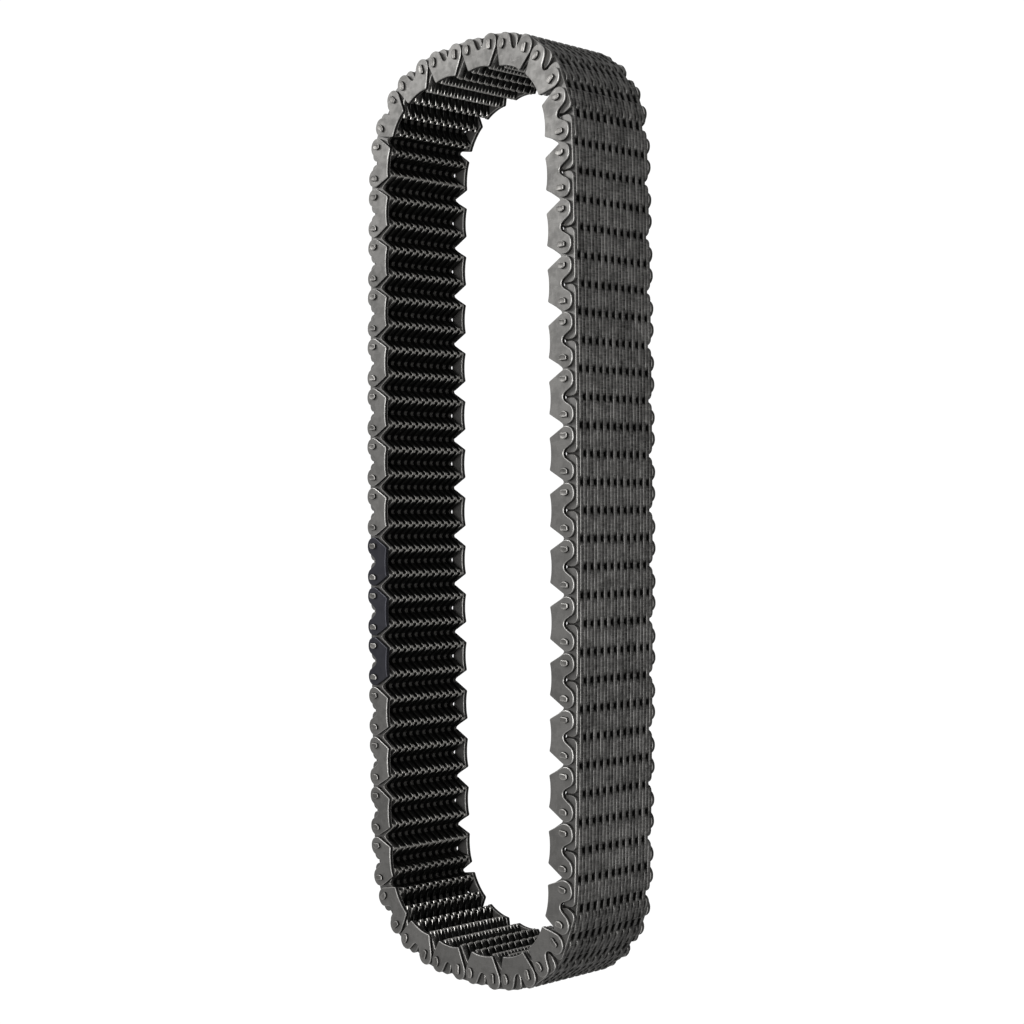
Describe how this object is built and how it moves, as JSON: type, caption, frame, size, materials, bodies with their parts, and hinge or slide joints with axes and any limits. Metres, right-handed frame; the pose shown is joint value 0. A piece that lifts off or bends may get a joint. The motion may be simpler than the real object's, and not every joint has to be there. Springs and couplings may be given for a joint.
{
  "type": "inverted-tooth drive chain",
  "caption": "Endless silent chain loop of toothed steel plates with side guide plates on rocker pins, lying flat as an oblong loop.",
  "frame": {"origin": "middle of the loop, level with the lower pin ends that the chain lies on", "axes": "+X across the loop, +Y along its straight strands, +Z along the pivots"},
  "size_m": [0.1146, 0.3378, 0.0417],
  "materials": {
    "link_steel": "satin",
    "pin_steel": "satin",
    "dark_guide_steel": "satin"
  },
  "bodies": {
    "link_01_plain": {"link_01_plain": "link_steel"},
    "links_02_03_run": {"links_02_03_run": "link_steel"},
    "link_04_guide": {"link_04_guide": "link_steel"},
    "link_05_plain": {"link_05_plain": "link_steel"},
    "link_06_guide": {"link_06_guide": "link_steel"},
    "link_07_plain": {"link_07_plain": "link_steel"},
    "links_08_11_run": {"links_08_11_run": "link_steel"},
    "links_12_13_run": {"links_12_13_run": "link_steel"},
    "links_14_15_run": {"links_14_15_run": "link_steel"},
    "links_16_17_run": {"links_16_17_run": "link_steel"},
    "links_18_19_run": {"links_18_19_run": "link_steel"},
    "links_20_21_run": {"links_20_21_run": "link_steel"},
    "link_22_guide": {"link_22_guide": "link_steel"},
    "links_23_24_run": {"links_23_24_run": "link_steel"},
    "links_25_26_run": {"links_25_26_run": "link_steel"},
    "links_27_28_run": {"links_27_28_run": "link_steel"},
    "links_29_30_run": {"links_29_30_run": "link_steel"},
    "links_31_32_run": {"links_31_32_run": "link_steel"},
    "links_33_36_run": {"links_33_36_run": "link_steel"},
    "link_37_plain": {"link_37_plain": "link_steel"},
    "link_38_guide": {"link_38_guide": "link_steel"},
    "link_39_plain": {"link_39_plain": "link_steel"},
    "link_40_guide": {"link_40_guide": "link_steel"},
    "links_41_42_run": {"links_41_42_run": "link_steel"},
    "link_43_plain": {"link_43_plain": "link_steel"},
    "links_44_45_run": {"links_44_45_run": "link_steel"},
    "link_46_guide": {"link_46_guide": "link_steel"},
    "link_47_plain": {"link_47_plain": "link_steel"},
    "link_48_guide": {"link_48_guide": "link_steel"},
    "link_49_plain": {"link_49_plain": "link_steel"},
    "links_50_53_run": {"links_50_53_run": "link_steel"},
    "links_54_55_run": {"links_54_55_run": "link_steel"},
    "links_56_57_run": {"links_56_57_run": "link_steel"},
    "links_58_59_run": {"links_58_59_run": "link_steel"},
    "links_60_61_run": {"links_60_61_run": "link_steel"},
    "links_62_63_run": {"links_62_63_run": "link_steel"},
    "link_64_guide": {"link_64_guide": "link_steel"},
    "links_65_66_run": {"links_65_66_run": "link_steel"},
    "links_67_68_run": {"links_67_68_run": "link_steel"},
    "links_69_70_run": {"links_69_70_run": "link_steel"},
    "links_71_72_run": {"links_71_72_run": "link_steel"},
    "links_73_74_run": {"links_73_74_run": "link_steel"},
    "links_75_78_run": {"links_75_78_run": "link_steel"},
    "link_79_plain": {"link_79_plain": "link_steel"},
    "link_80_guide": {"link_80_guide": "link_steel"},
    "link_81_plain": {"link_81_plain": "link_steel"},
    "link_82_guide": {"link_82_guide": "link_steel"},
    "links_83_84_run": {"links_83_84_run": "link_steel"}
  },
  "joints": [
    {"name": "pivot_01", "type": "hinge", "parent": "link_01_plain", "child": "links_02_03_run", "pos_m": [0.00476, -0.16476, 0.02], "axis": [0, 0, 1], "range_deg": [-0.56, 2.33]},
    {"name": "pivot_03", "type": "hinge", "parent": "links_02_03_run", "child": "link_04_guide", "pos_m": [0.02367, -0.1628, 0.02], "axis": [0, 0, 1], "range_deg": [-4.5, 1.08]},
    {"name": "pivot_04", "type": "hinge", "parent": "link_04_guide", "child": "link_05_plain", "pos_m": [0.0327, -0.15978, 0.02], "axis": [0, 0, 1], "range_deg": [-12.44, 2.99]},
    {"name": "pivot_05", "type": "hinge", "parent": "link_05_plain", "child": "link_06_guide", "pos_m": [0.0405, -0.15432, 0.02], "axis": [0, 0, 1], "range_deg": [-12.85, 3.08]},
    {"name": "pivot_06", "type": "hinge", "parent": "link_06_guide", "child": "link_07_plain", "pos_m": [0.04638, -0.14682, 0.02], "axis": [0, 0, 1], "range_deg": [-11.73, 2.82]},
    {"name": "pivot_07", "type": "hinge", "parent": "link_07_plain", "child": "links_08_11_run", "pos_m": [0.04999, -0.13801, 0.02], "axis": [0, 0, 1], "range_deg": [-10.81, 2.59]},
    {"name": "pivot_11", "type": "hinge", "parent": "links_08_11_run", "child": "links_12_13_run", "pos_m": [0.0521, -0.1, 0.02], "axis": [0, 0, 1], "range_deg": [-2, 8.33]},
    {"name": "pivot_13", "type": "hinge", "parent": "links_12_13_run", "child": "links_14_15_run", "pos_m": [0.05247, -0.08096, 0.02], "axis": [0, 0, 1], "range_deg": [-2, 8.33]},
    {"name": "pivot_15", "type": "hinge", "parent": "links_14_15_run", "child": "links_16_17_run", "pos_m": [0.05277, -0.06191, 0.02], "axis": [0, 0, 1], "range_deg": [-2, 8.33]},
    {"name": "pivot_17", "type": "hinge", "parent": "links_16_17_run", "child": "links_18_19_run", "pos_m": [0.05299, -0.04286, 0.02], "axis": [0, 0, 1], "range_deg": [-2, 8.33]},
    {"name": "pivot_19", "type": "hinge", "parent": "links_18_19_run", "child": "links_20_21_run", "pos_m": [0.05313, -0.02381, 0.02], "axis": [0, 0, 1], "range_deg": [-2, 8.33]},
    {"name": "pivot_21", "type": "hinge", "parent": "links_20_21_run", "child": "link_22_guide", "pos_m": [0.05319, -0.00476, 0.02], "axis": [0, 0, 1], "range_deg": [-2, 8.33]},
    {"name": "pivot_22", "type": "hinge", "parent": "link_22_guide", "child": "links_23_24_run", "pos_m": [0.05319, 0.00476, 0.02], "axis": [0, 0, 1], "range_deg": [-2, 8.33]},
    {"name": "pivot_24", "type": "hinge", "parent": "links_23_24_run", "child": "links_25_26_run", "pos_m": [0.05313, 0.02381, 0.02], "axis": [0, 0, 1], "range_deg": [-2, 8.33]},
    {"name": "pivot_26", "type": "hinge", "parent": "links_25_26_run", "child": "links_27_28_run", "pos_m": [0.05299, 0.04286, 0.02], "axis": [0, 0, 1], "range_deg": [-2, 8.33]},
    {"name": "pivot_28", "type": "hinge", "parent": "links_27_28_run", "child": "links_29_30_run", "pos_m": [0.05277, 0.06191, 0.02], "axis": [0, 0, 1], "range_deg": [-2, 8.33]},
    {"name": "pivot_30", "type": "hinge", "parent": "links_29_30_run", "child": "links_31_32_run", "pos_m": [0.05247, 0.08096, 0.02], "axis": [0, 0, 1], "range_deg": [-2, 8.33]},
    {"name": "pivot_32", "type": "hinge", "parent": "links_31_32_run", "child": "links_33_36_run", "pos_m": [0.0521, 0.1, 0.02], "axis": [0, 0, 1], "range_deg": [-2, 8.33]},
    {"name": "pivot_36", "type": "hinge", "parent": "links_33_36_run", "child": "link_37_plain", "pos_m": [0.04999, 0.13801, 0.02], "axis": [0, 0, 1], "range_deg": [-10.81, 2.59]},
    {"name": "pivot_37", "type": "hinge", "parent": "link_37_plain", "child": "link_38_guide", "pos_m": [0.04638, 0.14682, 0.02], "axis": [0, 0, 1], "range_deg": [-11.73, 2.82]},
    {"name": "pivot_38", "type": "hinge", "parent": "link_38_guide", "child": "link_39_plain", "pos_m": [0.0405, 0.15432, 0.02], "axis": [0, 0, 1], "range_deg": [-12.85, 3.08]},
    {"name": "pivot_39", "type": "hinge", "parent": "link_39_plain", "child": "link_40_guide", "pos_m": [0.0327, 0.15978, 0.02], "axis": [0, 0, 1], "range_deg": [-12.44, 2.99]},
    {"name": "pivot_40", "type": "hinge", "parent": "link_40_guide", "child": "links_41_42_run", "pos_m": [0.02367, 0.1628, 0.02], "axis": [0, 0, 1], "range_deg": [-4.5, 1.08]},
    {"name": "pivot_42", "type": "hinge", "parent": "links_41_42_run", "child": "link_43_plain", "pos_m": [0.00476, 0.16476, 0.02], "axis": [0, 0, 1], "range_deg": [-0.56, 2.33]},
    {"name": "pivot_45", "type": "hinge", "parent": "link_46_guide", "child": "links_44_45_run", "pos_m": [-0.02367, 0.1628, 0.02], "axis": [0, 0, -1], "range_deg": [-4.5, 1.08]},
    {"name": "pivot_46", "type": "hinge", "parent": "link_47_plain", "child": "link_46_guide", "pos_m": [-0.0327, 0.15978, 0.02], "axis": [0, 0, -1], "range_deg": [-12.44, 2.99]},
    {"name": "pivot_47", "type": "hinge", "parent": "link_48_guide", "child": "link_47_plain", "pos_m": [-0.0405, 0.15432, 0.02], "axis": [0, 0, -1], "range_deg": [-12.85, 3.08]},
    {"name": "pivot_48", "type": "hinge", "parent": "link_49_plain", "child": "link_48_guide", "pos_m": [-0.04638, 0.14682, 0.02], "axis": [0, 0, -1], "range_deg": [-11.73, 2.82]},
    {"name": "pivot_49", "type": "hinge", "parent": "links_50_53_run", "child": "link_49_plain", "pos_m": [-0.04999, 0.13801, 0.02], "axis": [0, 0, -1], "range_deg": [-10.81, 2.59]},
    {"name": "pivot_53", "type": "hinge", "parent": "links_54_55_run", "child": "links_50_53_run", "pos_m": [-0.0521, 0.1, 0.02], "axis": [0, 0, -1], "range_deg": [-2, 8.33]},
    {"name": "pivot_55", "type": "hinge", "parent": "links_56_57_run", "child": "links_54_55_run", "pos_m": [-0.05247, 0.08096, 0.02], "axis": [0, 0, -1], "range_deg": [-2, 8.33]},
    {"name": "pivot_57", "type": "hinge", "parent": "links_58_59_run", "child": "links_56_57_run", "pos_m": [-0.05277, 0.06191, 0.02], "axis": [0, 0, -1], "range_deg": [-2, 8.33]},
    {"name": "pivot_59", "type": "hinge", "parent": "links_60_61_run", "child": "links_58_59_run", "pos_m": [-0.05299, 0.04286, 0.02], "axis": [0, 0, -1], "range_deg": [-2, 8.33]},
    {"name": "pivot_61", "type": "hinge", "parent": "links_62_63_run", "child": "links_60_61_run", "pos_m": [-0.05313, 0.02381, 0.02], "axis": [0, 0, -1], "range_deg": [-2, 8.33]},
    {"name": "pivot_63", "type": "hinge", "parent": "link_64_guide", "child": "links_62_63_run", "pos_m": [-0.05319, 0.00476, 0.02], "axis": [0, 0, -1], "range_deg": [-2, 8.33]},
    {"name": "pivot_64", "type": "hinge", "parent": "links_65_66_run", "child": "link_64_guide", "pos_m": [-0.05319, -0.00476, 0.02], "axis": [0, 0, -1], "range_deg": [-2, 8.33]},
    {"name": "pivot_66", "type": "hinge", "parent": "links_67_68_run", "child": "links_65_66_run", "pos_m": [-0.05313, -0.02381, 0.02], "axis": [0, 0, -1], "range_deg": [-2, 8.33]},
    {"name": "pivot_68", "type": "hinge", "parent": "links_69_70_run", "child": "links_67_68_run", "pos_m": [-0.05299, -0.04286, 0.02], "axis": [0, 0, -1], "range_deg": [-2, 8.33]},
    {"name": "pivot_70", "type": "hinge", "parent": "links_71_72_run", "child": "links_69_70_run", "pos_m": [-0.05277, -0.06191, 0.02], "axis": [0, 0, -1], "range_deg": [-2, 8.33]},
    {"name": "pivot_72", "type": "hinge", "parent": "links_73_74_run", "child": "links_71_72_run", "pos_m": [-0.05247, -0.08096, 0.02], "axis": [0, 0, -1], "range_deg": [-2, 8.33]},
    {"name": "pivot_74", "type": "hinge", "parent": "links_75_78_run", "child": "links_73_74_run", "pos_m": [-0.0521, -0.1, 0.02], "axis": [0, 0, -1], "range_deg": [-2, 8.33]},
    {"name": "pivot_78", "type": "hinge", "parent": "link_79_plain", "child": "links_75_78_run", "pos_m": [-0.04999, -0.13801, 0.02], "axis": [0, 0, -1], "range_deg": [-10.81, 2.59]},
    {"name": "pivot_79", "type": "hinge", "parent": "link_80_guide", "child": "link_79_plain", "pos_m": [-0.04638, -0.14682, 0.02], "axis": [0, 0, -1], "range_deg": [-11.73, 2.82]},
    {"name": "pivot_80", "type": "hinge", "parent": "link_81_plain", "child": "link_80_guide", "pos_m": [-0.0405, -0.15432, 0.02], "axis": [0, 0, -1], "range_deg": [-12.85, 3.08]},
    {"name": "pivot_81", "type": "hinge", "parent": "link_82_guide", "child": "link_81_plain", "pos_m": [-0.0327, -0.15978, 0.02], "axis": [0, 0, -1], "range_deg": [-12.44, 2.99]},
    {"name": "pivot_82", "type": "hinge", "parent": "links_83_84_run", "child": "link_82_guide", "pos_m": [-0.02367, -0.1628, 0.02], "axis": [0, 0, -1], "range_deg": [-4.5, 1.08]},
    {"name": "pivot_84", "type": "hinge", "parent": "link_01_plain", "child": "links_83_84_run", "pos_m": [-0.00476, -0.16476, 0.02], "axis": [0, 0, -1], "range_deg": [-0.56, 2.33]}
  ],
  "couplings": [
    {"joint": "pivot_01", "follows": "pivot_74", "ratio": 0.27939},
    {"joint": "pivot_03", "follows": "pivot_74", "ratio": -0.53958},
    {"joint": "pivot_04", "follows": "pivot_74", "ratio": -1.493},
    {"joint": "pivot_05", "follows": "pivot_74", "ratio": -1.5419},
    {"joint": "pivot_06", "follows": "pivot_74", "ratio": -1.4075},
    {"joint": "pivot_07", "follows": "pivot_74", "ratio": -1.2974},
    {"joint": "pivot_11", "follows": "pivot_74", "ratio": 1},
    {"joint": "pivot_13", "follows": "pivot_74", "ratio": 1},
    {"joint": "pivot_15", "follows": "pivot_74", "ratio": 1},
    {"joint": "pivot_17", "follows": "pivot_74", "ratio": 1},
    {"joint": "pivot_19", "follows": "pivot_74", "ratio": 1},
    {"joint": "pivot_21", "follows": "pivot_74", "ratio": 1},
    {"joint": "pivot_22", "follows": "pivot_74", "ratio": 1},
    {"joint": "pivot_24", "follows": "pivot_74", "ratio": 1},
    {"joint": "pivot_26", "follows": "pivot_74", "ratio": 1},
    {"joint": "pivot_28", "follows": "pivot_74", "ratio": 1},
    {"joint": "pivot_30", "follows": "pivot_74", "ratio": 1},
    {"joint": "pivot_32", "follows": "pivot_74", "ratio": 1},
    {"joint": "pivot_36", "follows": "pivot_74", "ratio": -1.2974},
    {"joint": "pivot_37", "follows": "pivot_74", "ratio": -1.4075},
    {"joint": "pivot_38", "follows": "pivot_74", "ratio": -1.5419},
    {"joint": "pivot_39", "follows": "pivot_74", "ratio": -1.493},
    {"joint": "pivot_40", "follows": "pivot_74", "ratio": -0.53958},
    {"joint": "pivot_42", "follows": "pivot_74", "ratio": 0.27939},
    {"joint": "pivot_45", "follows": "pivot_74", "ratio": -0.53958},
    {"joint": "pivot_46", "follows": "pivot_74", "ratio": -1.493},
    {"joint": "pivot_47", "follows": "pivot_74", "ratio": -1.5419},
    {"joint": "pivot_48", "follows": "pivot_74", "ratio": -1.4075},
    {"joint": "pivot_49", "follows": "pivot_74", "ratio": -1.2974},
    {"joint": "pivot_53", "follows": "pivot_74", "ratio": 1},
    {"joint": "pivot_55", "follows": "pivot_74", "ratio": 1},
    {"joint": "pivot_57", "follows": "pivot_74", "ratio": 1},
    {"joint": "pivot_59", "follows": "pivot_74", "ratio": 1},
    {"joint": "pivot_61", "follows": "pivot_74", "ratio": 1},
    {"joint": "pivot_63", "follows": "pivot_74", "ratio": 1},
    {"joint": "pivot_64", "follows": "pivot_74", "ratio": 1},
    {"joint": "pivot_66", "follows": "pivot_74", "ratio": 1},
    {"joint": "pivot_68", "follows": "pivot_74", "ratio": 1},
    {"joint": "pivot_70", "follows": "pivot_74", "ratio": 1},
    {"joint": "pivot_72", "follows": "pivot_74", "ratio": 1},
    {"joint": "pivot_78", "follows": "pivot_74", "ratio": -1.2974},
    {"joint": "pivot_79", "follows": "pivot_74", "ratio": -1.4075},
    {"joint": "pivot_80", "follows": "pivot_74", "ratio": -1.5419},
    {"joint": "pivot_81", "follows": "pivot_74", "ratio": -1.493},
    {"joint": "pivot_82", "follows": "pivot_74", "ratio": -0.53958},
    {"joint": "pivot_84", "follows": "pivot_74", "ratio": 0.27939}
  ]
}
